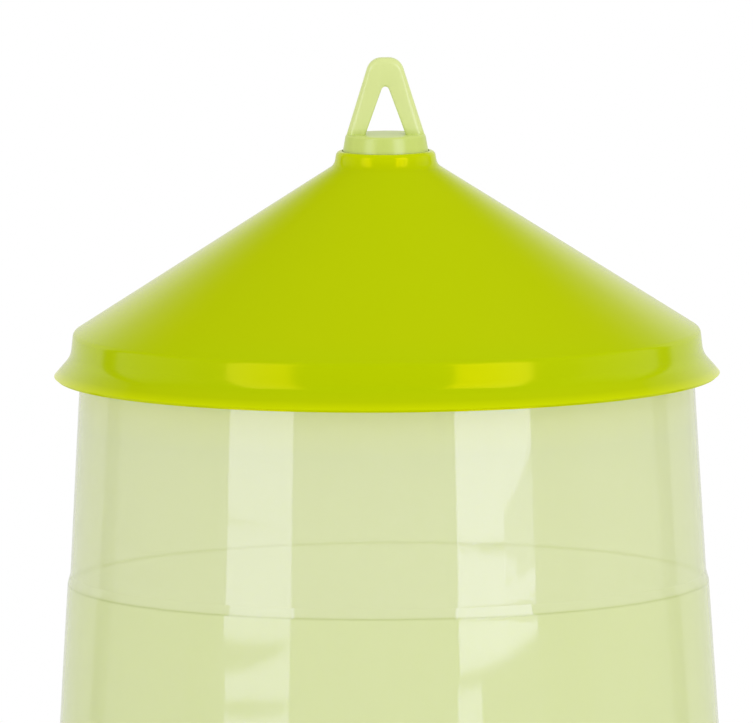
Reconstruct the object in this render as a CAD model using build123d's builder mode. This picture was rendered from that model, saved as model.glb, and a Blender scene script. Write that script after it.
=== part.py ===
"""Top-fill hanging poultry fount, as the separate pieces that it comes apart into on a bench.

From the top down: a lime roof lid slides up a turret with a hanging eye. The turret turns in the hub of a
spider at the top of the translucent reservoir, held by a spring clip. The reservoir is closed below by a
gasketed tank floor, and that floor carries a float valve which keeps the water in the trough pan level.
The trough pan twists onto the foot of the reservoir with four bayonet lugs, and its ring wall clamps the
floor.

Units are millimetres. The origin is the middle of the surface that the fount stands on, and Z is up.
The hanging eye's plate lies in the XZ plane, and the float arm runs along +X.
"""

import os
from math import atan, cos, degrees, radians, sin, tan

from build123d import *

# ---------------------------------------------------------------------------------------------------------
# Driving dimensions
# ---------------------------------------------------------------------------------------------------------

# Heights above the ground
rim_height = 342.0  # drip edge of the roof lid
skirt_bottom_height = 24.0  # lower edge of the reservoir
floor_seat_height = 66.0  # top of the pan's ring wall, on which the tank floor rests

# Clearances
running_gap = 0.3  # between pieces that slide past each other
pin_gap = 0.06  # radial, between the lever pin and its bores
insertion_gap = 0.9  # radial, round the tank floor inside the reservoir
cut_margin = 1.0  # by which a cutting sketch runs past the faces that it cuts

# Roof lid
lid_wall = 1.8
lid_radius = 149.9  # at the tip of the drip flare
flare_width = 7.5
flare_height = 8.5
flare_round = 11.0
band_height = 10.9
band_draft = 1.2
corner_round = 3.0
cone_slope = 32.5  # degrees below the horizontal
collar_radius = 23.2  # outside, where it meets the cone
collar_height = 6.3
collar_draft = 1.1
collar_round = 1.2
collar_fillet = 5.0
collar_gap = 0.3  # radial, between the collar's mouth and the turret's neck
gusset_count = 8
gusset_thickness = 2.0
gusset_length = 13.0

# Reservoir
tank_wall = 2.2
tank_radius_at_rim = 138.2  # outside, level with the lid's drip edge
upper_draft = 3.25  # degrees, above the nesting step
lower_draft = 3.6  # degrees, below the nesting step
step_depth = 91.5  # of the nesting step's middle, below the lid's drip edge
step_height = 4.5
step_width = 1.25
shelf_width = 6.0  # inward shelf at the top, under the lid's gussets
shelf_thickness = 3.0
shelf_rise = 16.0  # top of the shelf above the lid's drip edge
ledge_inner_radius = 143.0  # the gasket's ledge
ledge_thickness = 3.0
lug_count = 4
lug_width = 22.0
lug_height = 5.0
lug_reach = 4.8
lug_base_height = 50.0

# Spider and hub in the top of the reservoir
arm_count = 4
arm_width = 16.0
arm_rib_thickness = 4.0
arm_rib_depth = 12.0
arm_flange_thickness = 3.0
arm_gap = 3.4  # under the lid's wall, square to the cone
hub_radius = 27.0
hub_height = 10.0

# Hanger: turret, hanging eye and its clip
turret_neck_radius = 19.6
turret_top_radius = 17.9
turret_taper_height = 9.6
turret_rise = 7.4  # top of the turret above the lid's collar
turret_wall = 2.8
turret_edge_round = 1.2
bearing_gap = 0.35  # radial, between the turret's neck and the hub's bore
flange_radius = 26.0
flange_thickness = 4.0
plate_thickness = 9.0
plate_height = 34.6
plate_top_radius = 7.0  # at each end of the plate's flat top
plate_top_flat = 3.1
plate_round = 3.0
eye_base_width = 18.8
eye_apex_angle = 40.4  # degrees, between the eye's two sides
eye_apex_round = 1.4
eye_corner_round = 0.9
clip_thickness = 2.4
clip_band_width = 4.3
clip_ear_radius = 3.2
clip_groove_depth = 1.2
clip_opening = 60.0  # degrees
clip_hole_radius = 1.1

# Tank floor and its gasket
floor_thickness = 3.0
floor_dish = 4.0
floor_dish_radius = 132.0
floor_boss_radius = 27.0
notch_width = 28.0
notch_gap = 0.6  # inside the bayonet lugs that pass the notches
gasket_inner_radius = 143.8
gasket_outer_radius = 148.0
gasket_thickness = 2.6
gasket_gap = 0.3  # between the gasket and its dam
gasket_dam_width = 2.0
gasket_dam_height = 1.6
floor_rib_count = 8
floor_rib_depth = 6.0
floor_rib_thickness = 2.4

# Trough pan
pan_wall = 2.6
pan_radius = 198.0
lip_height = 50.0
lip_width = 9.0
lip_drop = 8.0
lip_round = 3.0
trough_wall_lean = 17.0  # from the trough's floor out to the rim of the pan
trough_corner_round = 9.0
raised_centre_radius = 128.0
raised_centre_height = 2.0
raised_centre_round = 3.0
ring_wall_radius = 152.0
ring_wall_thickness = 3.0
water_notch_count = 8
water_notch_width = 24.0
water_notch_top = 22.0
bayonet_turn = 20.0  # degrees, from locked to free
slot_play = 1.0  # degrees, past each end of the turn
pan_gusset_count = 8
pan_gusset_thickness = 2.4
pan_gusset_length = 9.0
pan_gusset_gap = 5.0  # below the bayonet lugs

# Float valve
valve_bore = 9.0
shank_diameter = 20.0
shank_height = 13.0  # above the tank floor
washer_thickness = 2.0
washer_diameter = 34.0
valve_flange_thickness = 4.0
valve_flange_diameter = 33.0
valve_stem_diameter = 17.0
valve_stem_height = 10.0  # under the flange
nozzle_diameter = 7.0
nozzle_bore = 3.0
nozzle_height = 6.0
nozzle_exposed = 2.5  # below the stem
nozzle_chamfer = 1.0
nut_across_flats = 30.0
nut_height = 8.0
nut_bevel = 27.0  # degrees, turned off the corners of the nut's top
strainer_diameter = 27.0
strainer_height = 22.0
strainer_wall = 1.6
strainer_round = 2.4
strainer_slot_count = 12
strainer_slot_width = 3.2
strainer_slot_height = 11.0
pivot_offset = 13.0  # from the nozzle's axis to the lever pin
pin_diameter = 3.0
pin_head_diameter = 5.4
pin_head_thickness = 1.4
pin_head_round = 0.7
cheek_spacing = 12.0
cheek_thickness = 2.6
cheek_width = 10.0
web_thickness = 2.0
circlip_thickness = 0.8
circlip_diameter = 5.6
circlip_groove_depth = 0.4
lever_travel = 5.0  # degrees, from hanging open to shut
lever_reach = 84.0  # from the pin to the float's axis
lever_width = 11.4
lever_thickness = 3.0
lever_rim_height = 5.0
lever_rim_thickness = 1.6
lever_eye_diameter = 16.0
lever_tail = 7.0  # behind the pin
lever_hub_wall = 1.8
pad_diameter = 8.0
pad_thickness = 2.6
pad_stem_diameter = 3.0
pad_barb_diameter = 4.4
pad_barb_height = 1.4
pad_barb_taper = 20.0  # degrees
pad_gap = 0.2  # left under the nozzle when the valve is shut
float_diameter = 56.0
float_ground_gap = 3.2  # over the pan's raised centre, when the arm hangs
float_round = 5.0
float_boss_diameter = 18.0
float_boss_height = 2.6
insert_diameter = 7.0
insert_length = 11.0
insert_floor = 1.0
screw_diameter = 4.0
screw_length = 12.0  # under the head
screw_head_diameter = 9.0
screw_head_height = 2.6
screw_head_round = 0.9
screw_drive_diameter = 4.4
screw_drive_depth = 1.4

# ---------------------------------------------------------------------------------------------------------
# Places worked out from them
# ---------------------------------------------------------------------------------------------------------

cone_fall = tan(radians(cone_slope))  # drop of the lid's cone for each millimetre of radius
band_bottom_radius = lid_radius - flare_width
band_top_radius = band_bottom_radius - band_draft
band_bottom_height = rim_height + flare_height
corner_height = band_bottom_height + band_height
collar_base_height = corner_height + (band_top_radius - collar_radius) * cone_fall
collar_top_height = collar_base_height + collar_height
collar_mouth_radius = turret_neck_radius + collar_gap
lid_cone_drop = lid_wall / cos(radians(cone_slope))  # vertical thickness of the lid's cone


def lid_underside(radius):
    """Height of the lid's inner cone at a radius."""
    return collar_base_height - (radius - collar_radius) * cone_fall - lid_cone_drop


step_top_height = rim_height - step_depth + step_height / 2
step_bottom_height = step_top_height - step_height
shelf_height = rim_height + shelf_rise


def upper_radius(height):
    """Outside radius of the reservoir above its nesting step."""
    return tank_radius_at_rim + (rim_height - height) * tan(radians(upper_draft))


def lower_radius(height):
    """Outside radius of the reservoir below its nesting step."""
    step_radius = upper_radius(step_top_height) + step_width
    return step_radius + (step_bottom_height - height) * tan(radians(lower_draft))


shelf_inner_radius = upper_radius(shelf_height) - tank_wall - shelf_width
ledge_bottom_height = floor_seat_height + floor_thickness + gasket_thickness
floor_radius = lower_radius(floor_seat_height + floor_thickness) - tank_wall - insertion_gap
arm_drop = arm_gap / cos(radians(cone_slope))
hub_top_height = lid_underside(hub_radius) - arm_drop
hub_bottom_height = hub_top_height - hub_height
hub_bore_radius = turret_neck_radius + bearing_gap
turret_top_height = collar_top_height + turret_rise
flange_top_height = hub_bottom_height - running_gap
clip_base_height = hub_top_height + running_gap
lug_top_height = lug_base_height + lug_height
lug_inner_radius = lower_radius(lug_top_height) - tank_wall - lug_reach
boss_underside_height = floor_seat_height - floor_dish
boss_top_height = boss_underside_height + floor_thickness
valve_flange_top = boss_underside_height - washer_thickness
valve_flange_bottom = valve_flange_top - valve_flange_thickness
stem_bottom_height = valve_flange_bottom - valve_stem_height
nozzle_tip_height = stem_bottom_height - nozzle_exposed
pivot_height = nozzle_tip_height - pad_gap - pad_thickness - lever_thickness / 2
nut_base_height = boss_top_height + washer_thickness
shank_top_height = boss_top_height + washer_thickness + shank_height


def radial_plane(angle):
    """Upright plane through the fount's axis: its X runs outwards at the angle, and its Y is up."""
    outward = (cos(radians(angle)), sin(radians(angle)), 0)
    return Plane(origin=(0, 0, 0), x_dir=outward, z_dir=(outward[1], -outward[0], 0))


def finish_piece(builder, name):
    """Label a finished piece and write its STEP file."""
    builder.part.label = name
    export_step(builder.part, f"parts/{name}.step")


os.makedirs("parts", exist_ok=True)

# ---------------------------------------------------------------------------------------------------------
# Roof lid: collar, cone, band and drip flare in one moulding, stiffened by gussets in its corner
# ---------------------------------------------------------------------------------------------------------

with BuildPart() as roof_lid:
    with BuildSketch(Plane.XZ):
        with BuildLine():
            FilletPolyline(
                (collar_radius - collar_draft, collar_top_height),
                (collar_radius, collar_base_height),
                (band_top_radius, corner_height),
                (band_bottom_radius, band_bottom_height),
                (lid_radius, rim_height),
                radius=(collar_fillet, corner_round, flare_round),
            )
            offset(amount=lid_wall, side=Side.RIGHT)
        make_face()
    revolve(axis=Axis.Z)
    # Lip that closes the collar round the turret
    with BuildSketch(Plane.XZ):
        with Locations((collar_mouth_radius, collar_top_height)):
            lip_width_inward = collar_radius - collar_draft - collar_mouth_radius
            Rectangle(lip_width_inward, lid_wall, align=(Align.MIN, Align.MAX))
    revolve(axis=Axis.Z)
    rim_edges = roof_lid.edges().filter_by(GeomType.CIRCLE).group_by(Axis.Z)
    fillet(rim_edges[-1].sort_by(SortBy.RADIUS)[-1], radius=collar_round)
    for turn in range(gusset_count):
        gusset_outer = band_top_radius - lid_wall / 2
        gusset_inner = gusset_outer - gusset_length
        with BuildSketch(radial_plane(360 / gusset_count * (turn + 0.5))):
            with BuildLine():
                Polyline(
                    (gusset_inner, shelf_height + running_gap),
                    (gusset_outer, shelf_height + running_gap),
                    (gusset_outer, lid_underside(gusset_outer) + lid_cone_drop / 2),
                    (gusset_inner, lid_underside(gusset_inner) + lid_cone_drop / 2),
                    close=True,
                )
            make_face()
        extrude(amount=gusset_thickness / 2, both=True)
finish_piece(roof_lid, "roof_lid")

# ---------------------------------------------------------------------------------------------------------
# Reservoir: drafted wall with its nesting step, spider and hub above, gasket ledge and lugs below
# ---------------------------------------------------------------------------------------------------------

with BuildPart() as reservoir:
    with BuildSketch(Plane.XZ):
        with BuildLine():
            FilletPolyline(
                (upper_radius(shelf_height), shelf_height),
                (upper_radius(step_top_height), step_top_height),
                (lower_radius(step_bottom_height), step_bottom_height),
                (lower_radius(skirt_bottom_height), skirt_bottom_height),
                radius=(step_height / 2, step_height / 2),
            )
            offset(amount=tank_wall, side=Side.RIGHT)
        make_face()
    revolve(axis=Axis.Z)
    with BuildSketch(Plane.XY.offset(shelf_height)):
        Circle(upper_radius(shelf_height))
        Circle(shelf_inner_radius, mode=Mode.SUBTRACT)
    extrude(amount=-shelf_thickness)
    with BuildSketch(Plane.XY.offset(ledge_bottom_height)):
        Circle(lower_radius(ledge_bottom_height + ledge_thickness) - tank_wall / 2)
        Circle(ledge_inner_radius, mode=Mode.SUBTRACT)
    extrude(amount=ledge_thickness)
    # Bayonet lugs on the inside of the skirt
    with BuildSketch(Plane.XY.offset(lug_base_height)):
        with PolarLocations(0, lug_count):
            with Locations(((lug_inner_radius + lower_radius(lug_top_height)) / 2, 0)):
                Rectangle(lower_radius(lug_top_height) - lug_inner_radius, lug_width)
        Circle(lug_inner_radius, mode=Mode.SUBTRACT)
        lug_envelope = lower_radius(lug_top_height) - tank_wall / 2
        Circle(lug_envelope, mode=Mode.INTERSECT)
    extrude(amount=lug_height)
    # Hub ring that carries the hanger
    with BuildSketch(Plane.XY.offset(hub_bottom_height)):
        Circle(hub_radius)
    extrude(amount=hub_height)
    # T-section arms that follow the slope of the roof
    for turn in range(arm_count):
        arm_outer = upper_radius(shelf_height) - tank_wall / 2
        arm_inner = hub_radius / 2
        outer_height = lid_underside(arm_outer) - arm_drop
        arm_plane = radial_plane(360 / arm_count * (turn + 0.5))
        for depth, width in (
            (arm_flange_thickness, arm_width),
            (arm_rib_depth, arm_rib_thickness),
        ):
            upright_depth = depth / cos(radians(cone_slope))
            root_height = hub_top_height - min(upright_depth, hub_height)
            with BuildSketch(arm_plane):
                with BuildLine():
                    Polyline(
                        (arm_inner, hub_top_height),
                        (hub_radius, hub_top_height),
                        (arm_outer, outer_height),
                        (arm_outer, outer_height - upright_depth),
                        (hub_radius, root_height),
                        (arm_inner, root_height),
                        close=True,
                    )
                make_face()
            extrude(amount=width / 2, both=True)
    with Locations((0, 0, hub_top_height)):
        Hole(hub_bore_radius)
finish_piece(reservoir, "reservoir")

# ---------------------------------------------------------------------------------------------------------
# Hanger: turret with its flange under the hub, and the plate with the hanging eye on top
# ---------------------------------------------------------------------------------------------------------

plate_base_height = turret_top_height - turret_wall / 2
plate_arc_height = turret_top_height + plate_height - plate_top_radius
eye_height = eye_base_width / 2 / tan(radians(eye_apex_angle / 2))

with BuildPart() as hanger:
    with BuildSketch(Plane.XZ):
        with Locations((-plate_top_flat / 2, plate_arc_height), (plate_top_flat / 2, plate_arc_height)):
            Circle(plate_top_radius)
        with Locations((0, plate_base_height)):
            Rectangle(2 * turret_top_radius, turret_wall / 2, align=(Align.CENTER, Align.MIN))
        make_hull()
    extrude(amount=plate_thickness / 2, both=True)
    outline_edges = hanger.faces().filter_by(Axis.Y).edges()
    fillet(outline_edges.filter_by(lambda edge: edge.center().Z > turret_top_height), radius=plate_round)
    with BuildSketch(Plane.XZ) as eye:
        with BuildLine():
            Polyline(
                (-eye_base_width / 2, turret_top_height),
                (eye_base_width / 2, turret_top_height),
                (0, turret_top_height + eye_height),
                close=True,
            )
        make_face()
        eye_corners = eye.vertices().sort_by(Axis.Y)
        fillet(eye_corners[-1], radius=eye_apex_round)
        fillet(eye_corners[:2], radius=eye_corner_round)
    extrude(amount=plate_thickness, both=True, mode=Mode.SUBTRACT)
    with BuildSketch(Plane.XZ) as turret_section:
        with BuildLine():
            Polyline(
                (0, flange_top_height - flange_thickness),
                (flange_radius, flange_top_height - flange_thickness),
                (flange_radius, flange_top_height),
                (turret_neck_radius, flange_top_height),
                (turret_neck_radius, turret_top_height - turret_taper_height),
                (turret_top_radius, turret_top_height),
                (0, turret_top_height),
                close=True,
            )
        make_face()
        top_corners = turret_section.vertices().group_by(Axis.Y)[-1]
        fillet(top_corners.sort_by(Axis.X)[-1], radius=turret_edge_round)
    revolve(axis=Axis.Z)
    # Moulded hollow under the turret's closed top
    with BuildSketch(Plane.XZ):
        with BuildLine():
            Polyline(
                (0, flange_top_height - flange_thickness),
                (turret_neck_radius - turret_wall, flange_top_height - flange_thickness),
                (turret_neck_radius - turret_wall, turret_top_height - turret_taper_height),
                (turret_top_radius - turret_wall, turret_top_height - turret_wall),
                (0, turret_top_height - turret_wall),
                close=True,
            )
        make_face()
    revolve(axis=Axis.Z, mode=Mode.SUBTRACT)
    # Groove for the clip
    with BuildSketch(Plane.XY.offset(clip_base_height - pin_gap)):
        Circle(turret_neck_radius + clip_groove_depth)
        Circle(turret_neck_radius - clip_groove_depth, mode=Mode.SUBTRACT)
    extrude(amount=clip_thickness + 2 * pin_gap, mode=Mode.SUBTRACT)
finish_piece(hanger, "hanger")

clip_inner_radius = turret_neck_radius - clip_groove_depth + pin_gap
clip_ear_angle = clip_opening / 2 + degrees(clip_ear_radius / (clip_inner_radius + clip_ear_radius))

with BuildPart() as hanger_clip:
    with BuildSketch(Plane.XY.offset(clip_base_height)):
        Circle(clip_inner_radius + clip_band_width)
        with PolarLocations(clip_inner_radius + clip_ear_radius, 2, -clip_ear_angle, 2 * clip_ear_angle,
                            endpoint=True):
            Circle(clip_ear_radius)
        Circle(clip_inner_radius, mode=Mode.SUBTRACT)
        with BuildLine():
            opening_reach = 2 * (clip_inner_radius + clip_band_width)
            Polyline(
                (0, 0),
                (opening_reach, -opening_reach * tan(radians(clip_opening / 2))),
                (opening_reach, opening_reach * tan(radians(clip_opening / 2))),
                close=True,
            )
        make_face(mode=Mode.SUBTRACT)
        with PolarLocations(clip_inner_radius + clip_ear_radius, 2, -clip_ear_angle, 2 * clip_ear_angle,
                            endpoint=True):
            Circle(clip_hole_radius, mode=Mode.SUBTRACT)
    extrude(amount=clip_thickness)
finish_piece(hanger_clip, "hanger_clip")

# ---------------------------------------------------------------------------------------------------------
# Tank floor and the gasket between it and the reservoir's ledge
# ---------------------------------------------------------------------------------------------------------

with BuildPart() as tank_floor:
    with BuildSketch(Plane.XZ):
        with BuildLine():
            Polyline(
                (0, boss_underside_height),
                (floor_boss_radius, boss_underside_height),
                (floor_dish_radius, floor_seat_height),
                (floor_radius, floor_seat_height),
                (floor_radius, floor_seat_height + floor_thickness),
                (floor_dish_radius, floor_seat_height + floor_thickness),
                (floor_boss_radius, boss_top_height),
                (0, boss_top_height),
                close=True,
            )
        make_face()
    revolve(axis=Axis.Z)
    # Dam that keeps the gasket centred
    with BuildSketch(Plane.XY.offset(floor_seat_height + floor_thickness)):
        Circle(gasket_inner_radius - gasket_gap)
        Circle(gasket_inner_radius - gasket_gap - gasket_dam_width, mode=Mode.SUBTRACT)
    extrude(amount=gasket_dam_height)
    # Stiffening ribs under the dish
    for turn in range(floor_rib_count):
        rib_outer = floor_dish_radius + floor_rib_depth
        with BuildSketch(radial_plane(360 / floor_rib_count * (turn + 0.5))):
            with BuildLine():
                Polyline(
                    (floor_boss_radius, floor_seat_height - floor_rib_depth),
                    (rib_outer - floor_rib_depth, floor_seat_height - floor_rib_depth),
                    (rib_outer, floor_seat_height + floor_thickness / 2),
                    (floor_dish_radius, floor_seat_height + floor_thickness / 2),
                    (floor_boss_radius, boss_underside_height + floor_thickness / 2),
                    close=True,
                )
            make_face()
        extrude(amount=floor_rib_thickness / 2, both=True)
    # Notches that pass the bayonet lugs when the floor is lifted into the reservoir
    with BuildSketch(Plane.XY.offset(floor_seat_height)):
        with PolarLocations(0, lug_count):
            with Locations((lug_inner_radius - notch_gap, 0)):
                Rectangle(floor_radius, notch_width, align=(Align.MIN, Align.CENTER))
    extrude(amount=floor_thickness, mode=Mode.SUBTRACT)
    with Locations((0, 0, boss_top_height)):
        Hole(shank_diameter / 2 + pin_gap)
finish_piece(tank_floor, "tank_floor")

with BuildPart() as floor_gasket:
    with BuildSketch(Plane.XY.offset(floor_seat_height + floor_thickness)):
        Circle(gasket_outer_radius)
        Circle(gasket_inner_radius, mode=Mode.SUBTRACT)
    extrude(amount=gasket_thickness)
finish_piece(floor_gasket, "floor_gasket")

# ---------------------------------------------------------------------------------------------------------
# Trough pan: raised centre, ring wall with water notches and bayonet slots, trough with a rolled lip
# ---------------------------------------------------------------------------------------------------------

trough_floor_radius = pan_radius - trough_wall_lean
lug_half_angle = degrees(atan(lug_width / 2 / lug_inner_radius))
slot_half_angle = lug_half_angle + slot_play
ring_wall_inner_radius = ring_wall_radius - ring_wall_thickness
notch_round = water_notch_width / 2

with BuildPart() as trough_pan:
    with BuildSketch(Plane.XZ):
        with BuildLine():
            FilletPolyline(
                (0, raised_centre_height),
                (raised_centre_radius, raised_centre_height),
                (raised_centre_radius + 2 * raised_centre_height, 0),
                (trough_floor_radius, 0),
                (pan_radius - lip_width, lip_height - pan_wall),
                (pan_radius - pan_wall, lip_height - pan_wall),
                (pan_radius - pan_wall, lip_height - lip_drop),
                radius=(raised_centre_round, raised_centre_round, trough_corner_round, lip_round, lip_round),
            )
            offset(amount=pan_wall, side=Side.LEFT)
        make_face()
    revolve(axis=Axis.Z)
    with BuildSketch(Plane.XY.offset(pan_wall / 2)):
        Circle(ring_wall_radius)
        Circle(ring_wall_inner_radius, mode=Mode.SUBTRACT)
    extrude(amount=floor_seat_height - pan_wall / 2)
    # Arched notches at the foot of the ring wall, through which the water reaches the trough
    for turn in range(water_notch_count):
        angle = 360 / water_notch_count * turn
        outward = (cos(radians(angle)), sin(radians(angle)), 0)
        notch_centre = (outward[0] * ring_wall_inner_radius, outward[1] * ring_wall_inner_radius, 0)
        with BuildSketch(Plane(notch_centre, x_dir=(-outward[1], outward[0], 0), z_dir=outward)):
            with Locations((0, pan_wall)):
                Rectangle(water_notch_width, water_notch_top - notch_round - pan_wall,
                          align=(Align.CENTER, Align.MIN))
            with Locations((0, water_notch_top - notch_round)):
                Circle(notch_round)
            with Locations((0, pan_wall)):
                Rectangle(water_notch_width, water_notch_width, align=(Align.CENTER, Align.MAX),
                          mode=Mode.SUBTRACT)
        extrude(amount=ring_wall_thickness, both=True, mode=Mode.SUBTRACT)
    # Bayonet slots: a run that the lug turns along, and an entry from the top at its free end
    for turn in range(lug_count):
        slot_start = 360 / lug_count * turn - slot_half_angle
        slot_end = 360 / lug_count * turn + bayonet_turn + slot_half_angle
        for start, base, top in (
            (slot_start, lug_base_height - running_gap, lug_top_height + running_gap),
            (slot_end - 2 * slot_half_angle, lug_base_height - running_gap, floor_seat_height),
        ):
            with BuildSketch(Plane.XY.offset(base)):
                with BuildLine():
                    near_arc = CenterArc((0, 0), ring_wall_inner_radius - cut_margin, start, slot_end - start)
                    far_arc = CenterArc((0, 0), ring_wall_radius + cut_margin, start, slot_end - start)
                    Line(near_arc @ 0, far_arc @ 0)
                    Line(near_arc @ 1, far_arc @ 1)
                make_face()
            extrude(amount=top - base, mode=Mode.SUBTRACT)
    for turn in range(pan_gusset_count):
        gusset_foot = ring_wall_inner_radius - pan_gusset_length
        gusset_top = lug_base_height - pan_gusset_gap
        with BuildSketch(radial_plane(360 / pan_gusset_count * (turn + 0.5))):
            with BuildLine():
                Polyline(
                    (gusset_foot, pan_wall / 2),
                    (ring_wall_inner_radius + ring_wall_thickness / 2, pan_wall / 2),
                    (ring_wall_inner_radius + ring_wall_thickness / 2, gusset_top),
                    (ring_wall_inner_radius, gusset_top),
                    close=True,
                )
            make_face()
        extrude(amount=pan_gusset_thickness / 2, both=True)
finish_piece(trough_pan, "trough_pan")

# ---------------------------------------------------------------------------------------------------------
# Float valve: body through the tank floor, nozzle, washers, nut and strainer
# ---------------------------------------------------------------------------------------------------------

nozzle_top_height = nozzle_tip_height + nozzle_height
cheek_offset = cheek_spacing / 2
web_underside = (lever_thickness / 2) + cheek_width / 2 * sin(radians(lever_travel)) + running_gap

with BuildPart() as valve_body:
    with BuildSketch(Plane.XZ):
        with BuildLine():
            Polyline(
                (0, stem_bottom_height),
                (valve_stem_diameter / 2, stem_bottom_height),
                (valve_stem_diameter / 2, valve_flange_bottom),
                (valve_flange_diameter / 2, valve_flange_bottom),
                (valve_flange_diameter / 2, valve_flange_top),
                (shank_diameter / 2, valve_flange_top),
                (shank_diameter / 2, shank_top_height),
                (0, shank_top_height),
                close=True,
            )
        make_face()
    revolve(axis=Axis.Z)
    # Cheeks that hold the lever pin
    for side in (-1, 1):
        with BuildSketch(Plane.XZ.offset(-side * cheek_offset)):
            with Locations((-pivot_offset, pivot_height)):
                Circle(cheek_width / 2)
                Rectangle(cheek_width, valve_flange_bottom - pivot_height, align=(Align.CENTER, Align.MIN))
                Circle(pin_diameter / 2 + pin_gap, mode=Mode.SUBTRACT)
        extrude(amount=-side * cheek_thickness)
    # Web behind the cheeks, against which the hanging lever stops
    with BuildSketch(Plane.XY.offset(pivot_height + web_underside)):
        with Locations((-pivot_offset - cheek_width / 2, 0)):
            Rectangle(web_thickness, cheek_spacing + cheek_thickness, align=(Align.MIN, Align.CENTER))
    extrude(amount=valve_flange_bottom - pivot_height - web_underside)
    with Locations((0, 0, shank_top_height)):
        Hole(valve_bore / 2, depth=shank_top_height - nozzle_top_height)
        Hole(nozzle_diameter / 2 + pin_gap)
finish_piece(valve_body, "valve_body")

with BuildPart() as valve_nozzle:
    with BuildSketch(Plane.XY.offset(nozzle_tip_height)):
        Circle(nozzle_diameter / 2)
        Circle(nozzle_bore / 2, mode=Mode.SUBTRACT)
    extrude(amount=nozzle_height)
    tip_edges = valve_nozzle.edges().group_by(Axis.Z)[0]
    chamfer(tip_edges.sort_by(SortBy.RADIUS)[-1], length=nozzle_chamfer)
finish_piece(valve_nozzle, "valve_nozzle")

for washer_name, washer_base in (
    ("valve_washer_lower", valve_flange_top),
    ("valve_washer_upper", boss_top_height),
):
    with BuildPart() as valve_washer:
        with BuildSketch(Plane.XY.offset(washer_base)):
            Circle(washer_diameter / 2)
            Circle(shank_diameter / 2 + pin_gap, mode=Mode.SUBTRACT)
        extrude(amount=washer_thickness)
    finish_piece(valve_washer, washer_name)

with BuildPart() as valve_nut:
    with BuildSketch(Plane.XY.offset(nut_base_height)):
        RegularPolygon(nut_across_flats / 2, 6, major_radius=False)
        Circle(shank_diameter / 2 + pin_gap, mode=Mode.SUBTRACT)
    extrude(amount=nut_height)
    # Corners turned down to a cone on the nut's top
    with BuildSketch(Plane.XZ):
        with BuildLine():
            nut_corner = nut_across_flats / 2 / cos(radians(30)) + cut_margin
            nut_top_height = nut_base_height + nut_height
            Polyline(
                (nut_across_flats / 2, nut_top_height),
                (nut_corner, nut_top_height),
                (nut_corner, nut_top_height - (nut_corner - nut_across_flats / 2) * tan(radians(nut_bevel))),
                close=True,
            )
        make_face()
    revolve(axis=Axis.Z, mode=Mode.SUBTRACT)
finish_piece(valve_nut, "valve_nut")

strainer_base = nut_base_height + nut_height
strainer_top_height = strainer_base + strainer_height
strainer_inner_radius = strainer_diameter / 2 - strainer_wall

with BuildPart() as strainer:
    with BuildSketch(Plane.XY.offset(strainer_base)):
        Circle(strainer_diameter / 2)
    extrude(amount=strainer_height)
    fillet(strainer.edges().group_by(Axis.Z)[-1], radius=strainer_round)
    # Bore that grips the valve's shank, with the screened chamber above it
    with BuildSketch(Plane.XY.offset(strainer_base)):
        Circle(shank_diameter / 2 + pin_gap)
    extrude(amount=shank_top_height - strainer_base, mode=Mode.SUBTRACT)
    with BuildSketch(Plane.XY.offset(shank_top_height)):
        Circle(strainer_inner_radius)
    extrude(amount=strainer_top_height - strainer_wall - shank_top_height, mode=Mode.SUBTRACT)
    # Vertical slots in the chamber's wall
    with BuildSketch(Plane.XY.offset(strainer_top_height - strainer_wall - strainer_slot_height)):
        with PolarLocations(0, strainer_slot_count // 2):
            Rectangle(strainer_diameter + 2 * cut_margin, strainer_slot_width)
        Circle(strainer_inner_radius - strainer_wall / 2, mode=Mode.SUBTRACT)
    extrude(amount=strainer_slot_height - strainer_wall, mode=Mode.SUBTRACT)
finish_piece(strainer, "strainer")

# ---------------------------------------------------------------------------------------------------------
# Float arm: lever on its pin, rubber pad under the nozzle, and the float screwed to the lever's eye.
# The arm is drawn on a plane that hangs down by the lever's travel, which is where it rests when it is dry.
# ---------------------------------------------------------------------------------------------------------

arm_outward = (cos(radians(lever_travel)), 0, -sin(radians(lever_travel)))
arm_upward = (sin(radians(lever_travel)), 0, cos(radians(lever_travel)))
arm_origin = (-pivot_offset, 0, pivot_height)
arm_side = Plane(arm_origin, x_dir=arm_outward, z_dir=(0, -1, 0))  # X along the lever, Y up
arm_top = Plane(arm_origin, x_dir=arm_outward, z_dir=arm_upward)  # looking down on the lever
pad_place = arm_top.offset(lever_thickness / 2).shift_origin(
    arm_top.offset(lever_thickness / 2).from_local_coords(Vector(pivot_offset, 0, 0))
)
float_place = arm_top.shift_origin(arm_top.from_local_coords(Vector(lever_reach, 0, 0)))
lever_hub_radius = pin_diameter / 2 + pin_gap + lever_hub_wall

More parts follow.
